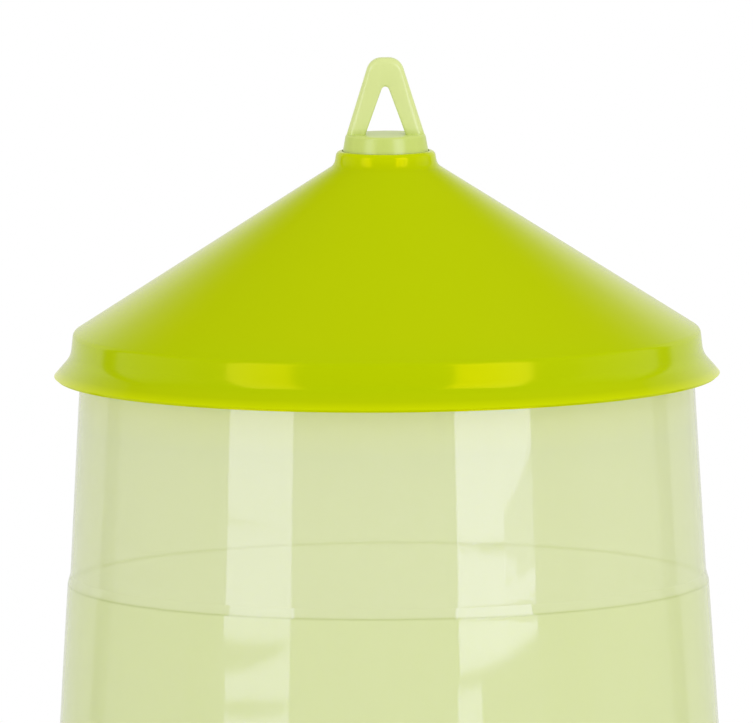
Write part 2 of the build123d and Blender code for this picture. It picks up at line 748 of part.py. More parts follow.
with BuildPart() as float_lever:
    with BuildSketch(arm_top.offset(-lever_thickness / 2)):
        with Locations((-lever_tail, 0)):
            Rectangle(lever_reach + lever_tail, lever_width, align=(Align.MIN, Align.CENTER))
        with Locations((lever_reach, 0)):
            Circle(lever_eye_diameter / 2)
    extrude(amount=lever_thickness)
    # Upturned rims, from ahead of the pad to the float's eye
    for side in (-1, 1):
        with BuildSketch(arm_top.offset(-lever_thickness / 2)):
            with Locations((pivot_offset, side * (lever_width - lever_rim_thickness) / 2)):
                Rectangle(lever_reach - lever_eye_diameter - pivot_offset, lever_rim_thickness,
                          align=(Align.MIN, Align.CENTER))
        extrude(amount=lever_rim_height)
    with BuildSketch(arm_side):
        Circle(lever_hub_radius)
    extrude(amount=lever_width / 2, both=True)
    with BuildSketch(arm_side):
        Circle(pin_diameter / 2 + pin_gap)
    extrude(amount=lever_width, both=True, mode=Mode.SUBTRACT)
    with BuildSketch(arm_top):
        with Locations((pivot_offset, 0)):
            Circle(pad_stem_diameter / 2 + pin_gap)
        with Locations((lever_reach, 0)):
            Circle(screw_diameter / 2 + pin_gap)
    extrude(amount=lever_rim_height, both=True, mode=Mode.SUBTRACT)
finish_piece(float_lever, "float_lever")

with BuildPart() as valve_pad:
    with BuildSketch(pad_place):
        Circle(pad_diameter / 2)
    extrude(amount=pad_thickness)
    with BuildSketch(pad_place):
        Circle(pad_stem_diameter / 2)
    extrude(amount=-lever_thickness - pad_barb_height)
    with BuildSketch(pad_place.offset(-lever_thickness - pin_gap)):
        Circle(pad_barb_diameter / 2)
    extrude(amount=-pad_barb_height, taper=pad_barb_taper)
finish_piece(valve_pad, "valve_pad")

float_top = -lever_thickness / 2 - float_boss_height  # along the float's axis, from the lever's middle
# The float is as deep as the room under the hanging arm leaves. Its lowest point is on the rounded edge that
# faces outwards, so the room is taken from the lever's eye down to the raised centre, less the tilt's share.
float_axis_height = pivot_height - lever_reach * sin(radians(lever_travel))
float_edge_drop = (float_diameter / 2 - float_round) * sin(radians(lever_travel)) + float_round
float_low_height = raised_centre_height + pan_wall + float_ground_gap + float_edge_drop
float_height = (float_axis_height - float_low_height) / cos(radians(lever_travel)) + float_top + float_round

with BuildPart() as float_body:
    with BuildSketch(float_place.offset(float_top)):
        Circle(float_diameter / 2)
    extrude(amount=-float_height)
    fillet(float_body.edges(), radius=float_round)
    with BuildSketch(float_place.offset(float_top)):
        Circle(float_boss_diameter / 2)
    extrude(amount=float_boss_height)
    with BuildSketch(float_place.offset(-lever_thickness / 2)):
        Circle(insert_diameter / 2)
    extrude(amount=-insert_length, mode=Mode.SUBTRACT)
finish_piece(float_body, "float")

with BuildPart() as float_insert:
    with BuildSketch(float_place.offset(-lever_thickness / 2)):
        Circle(insert_diameter / 2)
    extrude(amount=-insert_length)
    with BuildSketch(float_place.offset(-lever_thickness / 2)):
        Circle(screw_diameter / 2 + pin_gap)
    extrude(amount=-insert_length + insert_floor, mode=Mode.SUBTRACT)
finish_piece(float_insert, "float_insert")

with BuildPart() as float_screw:
    with BuildSketch(float_place.offset(lever_thickness / 2)):
        Circle(screw_head_diameter / 2)
    extrude(amount=screw_head_height)
    fillet(float_screw.edges().sort_by(Axis.Z)[-1], radius=screw_head_round)
    with BuildSketch(float_place.offset(lever_thickness / 2 + screw_head_height)):
        RegularPolygon(screw_drive_diameter / 2, 6)
    extrude(amount=-screw_drive_depth, mode=Mode.SUBTRACT)
    with BuildSketch(float_place.offset(lever_thickness / 2)):
        Circle(screw_diameter / 2)
    extrude(amount=-screw_length)
finish_piece(float_screw, "float_screw")

pin_end = cheek_offset + cheek_thickness + pin_gap  # along Y, to the outside of a cheek

with BuildPart() as lever_pin:
    with BuildSketch(Plane.XZ.offset(pin_end)):
        with Locations((-pivot_offset, pivot_height)):
            Circle(pin_head_diameter / 2)
    extrude(amount=pin_head_thickness)
    fillet(lever_pin.edges().sort_by(Axis.Y)[0], radius=pin_head_round)
    with BuildSketch(Plane.XZ.offset(pin_end)):
        with Locations((-pivot_offset, pivot_height)):
            Circle(pin_diameter / 2)
    extrude(amount=-2 * pin_end - 2 * circlip_thickness - 2 * pin_gap)
    # Groove for the circlip
    with BuildSketch(Plane.XZ.offset(-pin_end)):
        with Locations((-pivot_offset, pivot_height)):
            Circle(pin_diameter)
            Circle(pin_diameter / 2 - circlip_groove_depth, mode=Mode.SUBTRACT)
    extrude(amount=-circlip_thickness - 2 * pin_gap, mode=Mode.SUBTRACT)
finish_piece(lever_pin, "lever_pin")

with BuildPart() as pin_circlip:
    with BuildSketch(Plane.XZ.offset(-pin_end - pin_gap)):
        with Locations((-pivot_offset, pivot_height)):
            Circle(circlip_diameter / 2)
            Circle(pin_diameter / 2 - circlip_groove_depth + pin_gap, mode=Mode.SUBTRACT)
            Rectangle(pin_diameter - 2 * circlip_groove_depth, circlip_diameter,
                      align=(Align.CENTER, Align.MAX), mode=Mode.SUBTRACT)
    extrude(amount=-circlip_thickness)
finish_piece(pin_circlip, "pin_circlip")
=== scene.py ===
# %% [markdown]
# # A hanging poultry fount, dressed for its portrait
#
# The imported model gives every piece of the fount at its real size, in metres, standing on Z = 0 with its
# axis on Z. This notebook loads that model as a fixed frame and builds a finer skin for three of its
# pieces: the lime roof lid, the pale translucent reservoir, and the turret with its hanging eye. The trough
# pan, the tank floor and the float valve's small pieces keep their own solids and get finishes. Each skin
# is worked out with numpy as a surface over a grid, so a reader can follow how a formula becomes a moulded
# part.

from math import atan2, cos, pi, radians, sin, sqrt, tan

import bmesh
import bpy
import numpy as np
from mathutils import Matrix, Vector


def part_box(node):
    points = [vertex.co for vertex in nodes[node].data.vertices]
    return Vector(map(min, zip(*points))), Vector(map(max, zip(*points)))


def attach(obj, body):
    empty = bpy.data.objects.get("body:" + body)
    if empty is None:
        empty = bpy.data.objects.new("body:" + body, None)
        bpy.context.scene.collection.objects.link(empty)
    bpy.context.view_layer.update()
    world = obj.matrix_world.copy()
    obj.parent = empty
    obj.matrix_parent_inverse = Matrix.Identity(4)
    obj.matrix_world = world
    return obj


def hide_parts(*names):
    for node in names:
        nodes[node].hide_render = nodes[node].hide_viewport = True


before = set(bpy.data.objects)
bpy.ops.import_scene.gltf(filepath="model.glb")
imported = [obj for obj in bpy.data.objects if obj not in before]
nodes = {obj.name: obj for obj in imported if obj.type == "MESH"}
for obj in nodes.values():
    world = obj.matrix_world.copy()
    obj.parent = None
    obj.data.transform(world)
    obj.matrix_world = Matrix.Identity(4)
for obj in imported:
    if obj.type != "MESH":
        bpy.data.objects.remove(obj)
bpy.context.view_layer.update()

# %% [markdown]
# ## Sizes
#
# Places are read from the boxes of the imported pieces. What a box can't say, such as a wall thickness or a
# draft angle, is a named value here, in metres or as an angle. A moulded wall leans by its draft so that it
# leaves the mould, and here the reservoir widens downwards, so its widest point is its foot.

# %% Places from the frame
lid_low, lid_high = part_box("roof_lid")
tank_low, tank_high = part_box("reservoir")
hanger_low, hanger_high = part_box("hanger")
pan_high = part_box("trough_pan")[1]
floor_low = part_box("tank_floor")[0]
clip_low, clip_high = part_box("hanger_clip")
print(f"lid top at {lid_high.z:.4f} m, eye top at {hanger_high.z:.4f} m")
print(f"foot radius {tank_high.x:.4f} m, pan radius {pan_high.x:.4f} m")

# %% Sizes of the roof lid
LID_WALL = 0.0018
FLARE_WIDTH = 0.0075
FLARE_HEIGHT = 0.0085
BAND_HEIGHT = 0.0109
BAND_DRAFT = 0.0012
CONE_SLOPE = radians(32.5)
COLLAR_HEIGHT = 0.0063
COLLAR_DRAFT = 0.0011
COLLAR_MOUTH = 0.0197
GUSSETS = 8

flare_run = sqrt(FLARE_WIDTH**2 + FLARE_HEIGHT**2)
rim_z = lid_low.z + LID_WALL * FLARE_WIDTH / flare_run
lid_radius = lid_high.x
band_bottom_radius = lid_radius - FLARE_WIDTH
band_top_radius = band_bottom_radius - BAND_DRAFT
band_bottom_z = rim_z + FLARE_HEIGHT
corner_z = band_bottom_z + BAND_HEIGHT
collar_base_z = lid_high.z - COLLAR_HEIGHT
collar_radius = band_top_radius - (collar_base_z - corner_z) / tan(CONE_SLOPE)
cone_drop = LID_WALL / cos(CONE_SLOPE)


def lid_underside(radius):
    """Height of the lid's inner cone: the outer cone's height there, less the wall's upright depth."""
    return corner_z + (band_top_radius - radius) * tan(CONE_SLOPE) - cone_drop


print(f"drip edge at {rim_z:.4f} m, corner at {corner_z:.4f} m, collar radius {collar_radius:.4f} m")

# %% Sizes of the reservoir
TANK_WALL = 0.0022
UPPER_DRAFT = radians(3.25)
LOWER_DRAFT = radians(3.6)
STEP_DEPTH = 0.0915
STEP_HEIGHT = 0.0045
STEP_WIDTH = 0.00125
STEP_ROUND = 0.0012
SHELF_RISE = 0.016
SHELF_WIDTH = 0.006
SHELF_THICKNESS = 0.003
LEDGE_RADIUS = 0.143
LEDGE_THICKNESS = 0.003
FLOOR_RIB_DEPTH = 0.006
FLOOR_THICKNESS = 0.003
GASKET_THICKNESS = 0.0026

step_top_z = rim_z - STEP_DEPTH + STEP_HEIGHT / 2
step_bottom_z = step_top_z - STEP_HEIGHT
shelf_z = rim_z + SHELF_RISE
ledge_z = floor_low.z + FLOOR_RIB_DEPTH + FLOOR_THICKNESS + GASKET_THICKNESS


def lower_radius(z):
    """Outside radius under the nesting step: the foot's radius less the height times the draft's tangent."""
    return tank_high.x - (z - tank_low.z) * tan(LOWER_DRAFT)


def upper_radius(z):
    """Outside radius over the nesting step, set in by the step's width."""
    return lower_radius(step_bottom_z) - STEP_WIDTH - (z - step_top_z) * tan(UPPER_DRAFT)


print(f"shelf at {shelf_z:.4f} m, nesting step at {step_bottom_z:.4f} m, ledge at {ledge_z:.4f} m")

# %% [markdown]
# ## Turning formulas into meshes
#
# Almost every piece here is a solid of revolution or a profile carried along a path. Two helpers draw such
# profiles. `rounded_path` swaps each corner of a polyline for an arc, because moulded corners are round.
# `wall_profile` gives a path a thickness, with a round rim at each end.


# %% Path and wall helpers
def rounded_path(corners, rounds, steps=7):
    """Polyline with an arc of the given radius at each inner corner.

    With unit vectors a and b from the corner to its neighbours, and h half the angle between them, the arc
    starts r / tan(h) away along a, ends as far along b, and its centre lies r / sin(h) away along a + b.
    """
    corners = np.asarray(corners, float)
    pieces = [corners[:1]]
    for corner, before, after, radius in zip(corners[1:-1], corners[:-2], corners[2:], rounds):
        a = (before - corner) / np.linalg.norm(before - corner)
        b = (after - corner) / np.linalg.norm(after - corner)
        half = np.arccos(np.clip(a @ b, -1, 1)) / 2
        centre = corner + (a + b) / np.linalg.norm(a + b) * radius / np.sin(half)
        spokes = np.stack([corner + a * radius / np.tan(half), corner + b * radius / np.tan(half)]) - centre
        sweep = pi - 2 * half
        t = np.linspace(0, 1, steps)[:, None]
        arc = (np.sin((1 - t) * sweep) * spokes[0] + np.sin(t * sweep) * spokes[1]) / np.sin(sweep)
        pieces.append(centre + arc)
    pieces.append(corners[-1:])
    return np.concatenate(pieces)


def side_steps(path):
    """Unit sideways steps (to the right of travel) at each point, longer at a turn to keep the wall even."""
    runs = np.diff(path, axis=0)
    runs /= np.linalg.norm(runs, axis=1)[:, None]
    before = np.concatenate([runs[:1], runs])
    after = np.concatenate([runs, runs[-1:]])
    mean = before + after
    mean /= np.linalg.norm(mean, axis=1)[:, None]
    stretch = 1 / np.clip((mean * after).sum(1), 0.5, 1)
    return np.stack([mean[:, 1], -mean[:, 0]], 1) * stretch[:, None]


def wall_profile(path, thickness, rim_steps=5):
    """Closed profile of a wall: the path, a half circle round its end, the path moved sideways by the
    thickness and run backwards, and a half circle round its start."""
    inner = path + side_steps(path) * thickness

    def half_circle(start, end):
        """Middle + cos(t) spoke - sin(t) out, for t from 0 to 180 degrees without its ends."""
        middle, spoke = (start + end) / 2, (start - end) / 2
        out = np.array([spoke[1], -spoke[0]])
        t = np.linspace(0, pi, rim_steps + 2)[1:-1, None]
        return middle + np.cos(t) * spoke - np.sin(t) * out

    end_rim, start_rim = half_circle(path[-1], inner[-1]), half_circle(inner[0], path[0])
    return np.concatenate([path, end_rim, inner[::-1], start_rim])


print("a rounded corner has", len(rounded_path([(0, 0), (1, 0), (1, 1)], [0.2])) - 2, "points")

# %% [markdown]
# ### Grids of points
#
# A surface over two parameters is a grid of points. `grid_mesh` joins the whole grid with four-sided faces
# in one call, and turns them to face outwards by the sign of the volume that they enclose. `turned` carries
# a profile round the axis, and `lathe` makes a whole solid of revolution in one line.


# %% Grid helpers
def add_object(name, data):
    """Object with this data, linked to the scene's own collection."""
    made = bpy.data.objects.new(name, data)
    bpy.context.scene.collection.objects.link(made)
    return made


def new_piece(name, points, faces, mend, sharp=40):
    """Object from lists of points and faces. The mend works on the mesh before it is shaded smooth, and
    edges that turn by more than the sharp angle, in degrees, stay crisp."""
    mesh = bpy.data.meshes.new(name)
    mesh.from_pydata(points, [], faces)
    shape = bmesh.new()
    shape.from_mesh(mesh)
    mend(shape)
    shape.to_mesh(mesh)
    shape.free()
    mesh.shade_smooth()
    mesh.set_sharp_from_angle(angle=radians(sharp))
    return add_object(name, mesh)


def merge_doubles(shape):
    """Merge the points that fall on each other, such as those of a pole, and drop faces without an area."""
    bmesh.ops.remove_doubles(shape, verts=shape.verts, dist=1e-6)
    bmesh.ops.dissolve_degenerate(shape, edges=shape.edges, dist=1e-7)


def grid_mesh(name, points, wrap=(True, True), sharp=40):
    """Mesh of a grid of points, rows by columns, with quads between neighbours.

    wrap says whether the last row meets the first and the last column the first. The faces are turned
    outwards: the volume is the sum of (a x b) . c / 6 over the triangles, and if it is negative every face
    is reversed.
    """
    rows, columns = points.shape[:2]
    index = np.arange(rows * columns).reshape(rows, columns)
    if wrap[0]:
        index = np.concatenate([index, index[:1]])
    if wrap[1]:
        index = np.concatenate([index, index[:, :1]], axis=1)
    quads = np.stack([index[:-1, :-1], index[1:, :-1], index[1:, 1:], index[:-1, 1:]], -1).reshape(-1, 4)
    flat = points.reshape(-1, 3)
    a, b, c, d = (flat[quads[:, k]] for k in range(4))
    volume = (np.cross(a, b) * c).sum() + (np.cross(a, c) * d).sum()
    if volume < 0:
        quads = quads[:, ::-1]
    return new_piece(name, flat.tolist(), quads.tolist(), merge_doubles, sharp)


def full_turn(segments):
    """Evenly spaced angles from 0 up to 360 degrees, in radians, one to a row."""
    return np.linspace(0, 2 * pi, segments, endpoint=False)[:, None]


def turned(radius, height, turn):
    """Grid of points with x = radius cos(turn), y = radius sin(turn) and z = height."""
    return np.stack(np.broadcast_arrays(radius * np.cos(turn), radius * np.sin(turn), height), -1)


def lathe(name, profile, segments, sharp=40):
    """Surface of revolution of a closed profile of (radius, height) points, carried once round the axis."""
    return grid_mesh(name, turned(profile[:, 0], profile[:, 1], full_turn(segments)), sharp=sharp)


print("3 points at 4 angles give an array of", turned(np.ones(3), np.arange(3), full_turn(4)).shape)

# %% [markdown]
# ### Plates
#
# Gussets, arms and lugs are flat plates that stand upright in planes through the axis. Each is an outline
# of (radius, height) points with a width, and its edges get a small round, which catches the light as a
# moulded edge does.


# %% Plate and join helpers
def join(name, pieces):
    """One object from several, under the first one's data."""
    with bpy.context.temp_override(active_object=pieces[0], selected_editable_objects=pieces):
        bpy.ops.object.join()
    pieces[0].name = name
    pieces[0].data.name = name
    return pieces[0]


PLATE_EDGE_ROUND = 0.0003


def round_edges(shape):
    """Turn the faces outwards and round every edge."""
    bmesh.ops.recalc_face_normals(shape, faces=shape.faces)
    bmesh.ops.bevel(shape, geom=shape.edges, offset=PLATE_EDGE_ROUND, segments=2, affect="EDGES",
                    clamp_overlap=True)


def radial_prism(name, outline, angle, width):
    """Flat plate in an upright plane through the axis: each outline point (radius, height) is placed at the
    angle, and moved half the width to each side along the tangent."""
    outline = np.asarray(outline, float)
    outward = np.array([cos(angle), sin(angle), 0])
    tangent = np.array([-sin(angle), cos(angle), 0])
    face = outline[:, :1] * outward + np.outer(outline[:, 1], (0, 0, 1))
    sides = np.array([-width / 2, width / 2])[:, None, None] * tangent + face
    count = len(outline)
    ring = np.arange(count)
    after = np.roll(ring, -1)
    walls = np.stack([ring, after, after + count, ring + count], 1).tolist()
    caps = [ring[::-1].tolist(), (ring + count).tolist()]
    return new_piece(name, sides.reshape(-1, 3).tolist(), walls + caps, round_edges)


# %% [markdown]
# ## Finishes
#
# A finish is a Principled shader whose maths is written as plain expressions. `Socket` wraps the output of
# a node, and each operator adds the Math node that it stands for, so `1 - mask` is a value that can be used
# again. `Graph` hands out nodes for any node tree, and `Finish` is the graph of one material.


# %% A socket that does sums
class Socket:
    """An output of a node that can be added, multiplied and divided like a number."""

    def __init__(self, graph, output):
        self.graph, self.output = graph, output

    def math(self, operation, *others):
        """Result of a Math node, with this value first."""
        return self.graph.node("ShaderNodeMath", {"operation": operation}, self, *others)

    def __add__(self, other):
        return self.math("ADD", other)

    def __sub__(self, other):
        return self.math("SUBTRACT", other)

    def __rsub__(self, other):
        return self.graph.node("ShaderNodeMath", {"operation": "SUBTRACT"}, other, self)

    def __mul__(self, other):
        return self.math("MULTIPLY", other)

    def __truediv__(self, other):
        return self.math("DIVIDE", other)

    def clamp(self):
        """The value, held between 0 and 1."""
        return self.graph.node("ShaderNodeClamp", {}, self)


# %% A node tree that hands out nodes
# Where a Mix node keeps its two colours and their mix.
COLOUR_INPUTS = (6, 7)
COLOUR_OUTPUT = 2


class Graph:
    """A node tree, with one method that adds any node and gives back one of its outputs."""

    def __init__(self, tree):
        self.tree = tree

    def feed(self, socket, value):
        """Link a Socket to an input, or set a plain value on it."""
        if isinstance(value, Socket):
            self.tree.links.new(value.output, socket)
        else:
            socket.default_value = value

    def node(self, kind, settings, *values, output=0, **named):
        """A node of this kind: settings first, then the values or links of its inputs, then its output."""
        made = self.tree.nodes.new(kind)
        for key, value in settings.items():
            setattr(made, key, value)
        for socket, value in zip(made.inputs, values):
            self.feed(socket, value)
        for key, value in named.items():
            self.feed(made.inputs[key.replace("_", " ")], value)
        return Socket(self, made.outputs[output])

    def axis(self, vector, index):
        """One coordinate of a vector: 0 for x, 1 for y, 2 for z."""
        return self.node("ShaderNodeSeparateXYZ", {}, vector, output=index)

    def blend(self, amount, first, second):
        """Colour (1 - amount) first + amount second. A Mix node does it, because Math would turn it grey."""
        mixed = self.node("ShaderNodeMix", {"data_type": "RGBA"}, amount, output=COLOUR_OUTPUT)
        for index, colour in zip(COLOUR_INPUTS, (first, second)):
            self.feed(mixed.output.node.inputs[index], colour)
        return mixed


# %% A finish and how a piece wears it
GRAIN_DEPTH = 0.0002


class Finish(Graph):
    """A material with its Principled shader, its own coordinates, and noise to break it up."""

    def __init__(self, name):
        self.material = bpy.data.materials.new(name)
        self.material.use_nodes = True
        super().__init__(self.material.node_tree)
        self.shader = self.tree.nodes["Principled BSDF"]
        self.place = self.node("ShaderNodeTexCoord", {}, output="Object")

    def set(self, **sockets):
        """Set or link the shader's inputs by name, with an underscore for a space."""
        for key, value in sockets.items():
            self.feed(self.shader.inputs[key.replace("_", " ")], value)

    def noise(self, scale, detail=3.0, place=None):
        """Smooth random value from 0 to 1, with so many swells to the metre and ever finer ones on them."""
        return self.node("ShaderNodeTexNoise", {}, output="Fac", Vector=place or self.place, Scale=scale,
                         Detail=detail)

    def level(self, start, end):
        """Share from 0 to 1 as the height runs from start to end, in the piece's own coordinates."""
        return ((self.axis(self.place, 2) - start) / (end - start)).clamp()

    def stretch(self, scale):
        """The object's own coordinates, scaled along each axis, so that a pattern runs with the piece."""
        return self.node("ShaderNodeMapping", {}, self.place, Scale=scale)

    def grain(self, scale, strength, detail=3.0):
        """Fine relief: noise of this scale tilts the shading normal, by the strength's share."""
        self.set(Normal=self.node("ShaderNodeBump", {}, output="Normal", Strength=strength,
                                  Distance=GRAIN_DEPTH, Height=self.noise(scale, detail)))


def wear(piece, finish):
    """Put a finish on every material slot of a piece, and give a piece without a slot one for it."""
    if not piece.data.materials:
        piece.data.materials.append(finish.material)
    for index in range(len(piece.data.materials)):
        piece.data.materials[index] = finish.material


# %% [markdown]
# ### Lime polypropylene
#
# The lid and the pan are moulded in an opaque lime. The colour is even, with a very faint cloudiness where
# the pigment flowed, and the gloss varies a little. A tint on the reflection keeps the highlight lime as
# well. At grazing angles the reflection turns white by itself, because the tint only holds for a straight
# look. The pigment also scatters light sideways, which shows as a lime sheen on the flanks. The tone also
# carries painted light and shade by height. The short collar is painted brighter, as painted light. The
# band is painted a touch darker and greener, as painted shade. A faint painted glow in the emission stands
# for light from behind in the thin lip of the drip edge. The pan lies lower than all of these levels. So
# it has the plain tone and the lip's painted glow all over, which stands for the light that falls into an
# open dish.

# %% Lime finish
LIME = (0.502, 0.606, 0.0004, 1)
LIME_DEEP = (0.484, 0.592, 0.0002, 1)
# Painted light: the collar's brighter tone.
LIME_COLLAR_PAINTED_LIGHT = (0.560, 0.665, 0.0004, 1)
# Painted shade: the band's darker, greener tone.
LIME_BAND_PAINTED_SHADE = (0.474, 0.600, 0.0006, 1)
LIME_SHEEN = (1.0, 1.0, 0.0, 1)
LIME_SHINE = (0.60, 0.36, 0.0, 1)
# Painted glow: emission in the drip edge's lip and all over the pan below it.
LIP_PAINTED_GLOW = (0.110, 0.100, 0.0, 1)
BLACK = (0, 0, 0, 1)
PLASTIC_IOR = 1.49

# Painted light on the collar: where it is full.
COLLAR_LIGHT_DEPTH = 0.0025  # under the collar's top, where the bright tone is full
BAND_SHADE_RISE = 0.010  # over the corner, where the band's tone begins
BAND_SHADE_INSET = 0.002  # from the band's own edges
LIP_GLOW_REACH = 0.0034


def lime_plastic():
    """Tone = the deep and the plain lime mixed by 0.7 cloud + 0.3 flow, then blended by height towards the
    collar's painted light and the band's painted shade. The lip's emission is a painted glow. Roughness =
    0.10 + 0.04 flow."""
    finish = Finish("lime_polypropylene")
    cloud = finish.noise(9.0, detail=4.0)
    flow = finish.noise(3.0, detail=2.0, place=finish.stretch((14, 14, 3)))
    tone = finish.blend(cloud * 0.7 + flow * 0.3, LIME_DEEP, LIME)
    # Painted light: the collar is blended towards its brighter tone.
    tone = finish.blend(finish.level(collar_base_z, lid_high.z - COLLAR_LIGHT_DEPTH), tone, LIME_COLLAR_PAINTED_LIGHT)
    # Painted shade: the band is blended towards its darker, greener tone.
    under_corner = finish.level(corner_z + BAND_SHADE_RISE, corner_z - BAND_SHADE_INSET)
    over_rim = finish.level(rim_z + BAND_SHADE_INSET, band_bottom_z)
    tone = finish.blend(under_corner * over_rim, tone, LIME_BAND_PAINTED_SHADE)
    # Painted glow: emission that is full at the lip and everywhere below it.
    lip = finish.level(rim_z + LIP_GLOW_REACH, rim_z)
    finish.set(Base_Color=tone, Emission_Color=finish.blend(lip, BLACK, LIP_PAINTED_GLOW), Emission_Strength=1.0,
               Sheen_Weight=0.12, Sheen_Roughness=0.5, Sheen_Tint=LIME_SHEEN,
               Roughness=flow * 0.04 + 0.10, IOR=PLASTIC_IOR, Specular_Tint=LIME_SHINE)
    finish.grain(1400.0, 0.01, detail=2.0)
    return finish


lime = lime_plastic()
print(lime.material.name, "has", len(lime.tree.nodes), "nodes")

# %% [markdown]
# ### Natural polypropylene
#
# The reservoir and the hanger are unpigmented resin with a green cast. Light passes, but it scatters on the
# way, so what lies behind is veiled rather than seen. A refracting solid would show the far side sharply
# and take long to settle. So here the wall is mostly a pale diffuse colour, and a fixed share of it lets
# the view through. The far wall then adds a second, fainter layer.

# %% Translucent finish
RESIN_SHINE = (0.65, 0.60, 1.0, 1)


def natural_plastic(name, alpha, roughness):
    """Unpigmented resin. Alpha is the share that hides the view, and the roughness grows by 0.02 cloud."""
    finish = Finish(name)
    finish.cloud = finish.noise(6.0) * 0.5 + finish.noise(2.0, place=finish.stretch((10, 10, 2))) * 0.5
    finish.set(Roughness=finish.cloud * 0.02 + roughness, IOR=PLASTIC_IOR, Alpha=alpha,
               Specular_Tint=RESIN_SHINE)
    finish.grain(900.0, 0.005, detail=2.0)
    return finish


# %% [markdown]
# ### The reservoir's wall
#
# The veil is a property of the whole wall, but a closed mesh has two skins. So the outer skin carries the
# veil and the inner skin is almost clear. The tone changes with height. Close under the lid it is painted
# lighter and greener: painted light that stands for the light coming through the lime drip edge and lifts
# the lid's shade. A fine painted dark line, painted shade, marks the lower corner of the nesting step,
# where the wall is looked through edgeways. The resin also carries light along inside itself, which a
# surface colour can't do. So a faint painted glow in the emission, which dies away below the lid, stands
# for it and lifts the shade there.

# %% Finishes of the reservoir's two skins
WALL_PALE = (0.825, 0.890, 0.468, 1)
WALL_CLOUDED = (0.812, 0.880, 0.450, 1)
WALL_LOWER = (0.800, 0.880, 0.400, 1)
# Painted light: the lighter, greener tone under the lid that lifts its shade.
WALL_LIT_UNDER_LID = (0.900, 0.960, 0.440, 1)
# Painted shade: the dark line at the step's lower corner.
STEP_SHADE_LINE = (0.610, 0.680, 0.290, 1)
# Painted glow: emission under the lid that lifts its shade.
WALL_PAINTED_GLOW = (0.12, 0.12, 0.035, 1)

STEP_SHADE_LINE_REACH = 0.0009
STEP_TONE_REACH = 0.0005
# Painted light under the lid: where it begins and where it is full.
LID_LIGHT_START, LID_LIGHT_END = 0.022, 0.006  # under the drip edge, where the greener tone begins and is full
GLOW_REACH = 0.020
GLOW_POWER = 4.0
GLOW_START, GLOW_END = 0.001, 0.004  # over the drip edge, where the lid hides the wall


def thin_wall(name, alpha, step_alpha):
    """Skin whose tone is blended by height, with painted light under the lid. At the step's lower corner a
    painted dark line with the weight 1 - distance / reach has its own tone and alpha. The painted glow is
    the height's share to the power of 4."""
    finish = natural_plastic(name, alpha, 0.02)
    tone = finish.blend(finish.cloud, WALL_CLOUDED, WALL_PALE)
    below_step = finish.level(step_bottom_z + STEP_TONE_REACH, step_bottom_z - STEP_TONE_REACH)
    tone = finish.blend(below_step, tone, WALL_LOWER)
    # Painted light: the wall is blended lighter and greener under the lid.
    tone = finish.blend(finish.level(rim_z - LID_LIGHT_START, rim_z - LID_LIGHT_END), tone, WALL_LIT_UNDER_LID)
    # Painted shade: a dark line round the step's lower corner, with its own alpha.
    away = (finish.axis(finish.place, 2) - step_bottom_z).math("ABSOLUTE")
    corner = (1 - away / STEP_SHADE_LINE_REACH).clamp()
    # Painted glow: emission that rises towards the drip edge and stops where the lid hides the wall.
    glow = finish.level(rim_z - GLOW_REACH, rim_z).math("POWER", GLOW_POWER)
    glow = glow * finish.level(rim_z + GLOW_END, rim_z + GLOW_START)
    finish.set(Base_Color=finish.blend(corner, tone, STEP_SHADE_LINE), Alpha=corner * (step_alpha - alpha) + alpha,
               Emission_Color=finish.blend(glow, BLACK, WALL_PAINTED_GLOW), Emission_Strength=1.0)
    return finish


natural_outer = thin_wall("natural_polypropylene", 0.66, 0.80)
natural_inner = thin_wall("natural_polypropylene_inner_skin", 0.08, 0.60)
for skin in (natural_outer, natural_inner):
    print(skin.material.name, "has", len(skin.tree.nodes), "nodes")

# %% [markdown]
# ### Thick resin
#
# In the hanger, the ribs and the tank floor the resin is thick, so nothing is seen through it. It is darker
# and more saturated there. The turret, which stands in the lime collar, is painted darker and greener most
# of all, as painted shade and lime light from the collar. Its matt surface mirrors less than the wall's.

# %% Finishes of the hanger and the ribs
RIB_RESIN = (0.700, 0.770, 0.340, 1)
EYE_RESIN = (0.735, 0.820, 0.325, 1)
# Painted shade and lime light from the collar on the turret.
TURRET_PAINTED_SHADE = (0.612, 0.722, 0.172, 1)
TONE_REACH = 0.002
EYE_TONE_RISE = 0.0084  # over the lid's top


def thick_resin(name, low_tone, high_tone, change):
    """Opaque resin that goes from the low to the high tone round the height of the change."""
    finish = natural_plastic(name, 1.0, 0.27)
    tone = finish.blend(finish.level(change - TONE_REACH, change + TONE_REACH), low_tone, high_tone)
    finish.set(Base_Color=tone, Specular_IOR_Level=0.28)
    return finish


natural_ribs = thick_resin("natural_polypropylene_ribs", RIB_RESIN, RIB_RESIN, 0.0)
eye_tone_z = lid_high.z + EYE_TONE_RISE
# Below the change the turret wears painted shade and lime light from the collar.
natural_hanger = thick_resin("natural_polypropylene_hanger", TURRET_PAINTED_SHADE, EYE_RESIN, eye_tone_z)
print(f"the hanger's tone changes at {eye_tone_z:.4f} m")

# %% [markdown]
# ## Roof lid
#
# The lid is one moulding: a short collar, a cone that sheds rain and droppings, an upright band and a
# bell-mouthed drip edge. One path down its outside, given a wall and turned round the axis, makes all of
# it. Gussets inside its corner keep the band round and rest on the reservoir's shelf.

# %% Roof lid
COLLAR_ROUND = 0.0022
COLLAR_FILLET = 0.0050
CORNER_ROUND = 0.0030
FLARE_ROUND = 0.0110
GUSSET_LENGTH = 0.013
GUSSET_WIDTH = 0.0020
LID_GAP = 0.0003
LIP_INSET = 0.0001


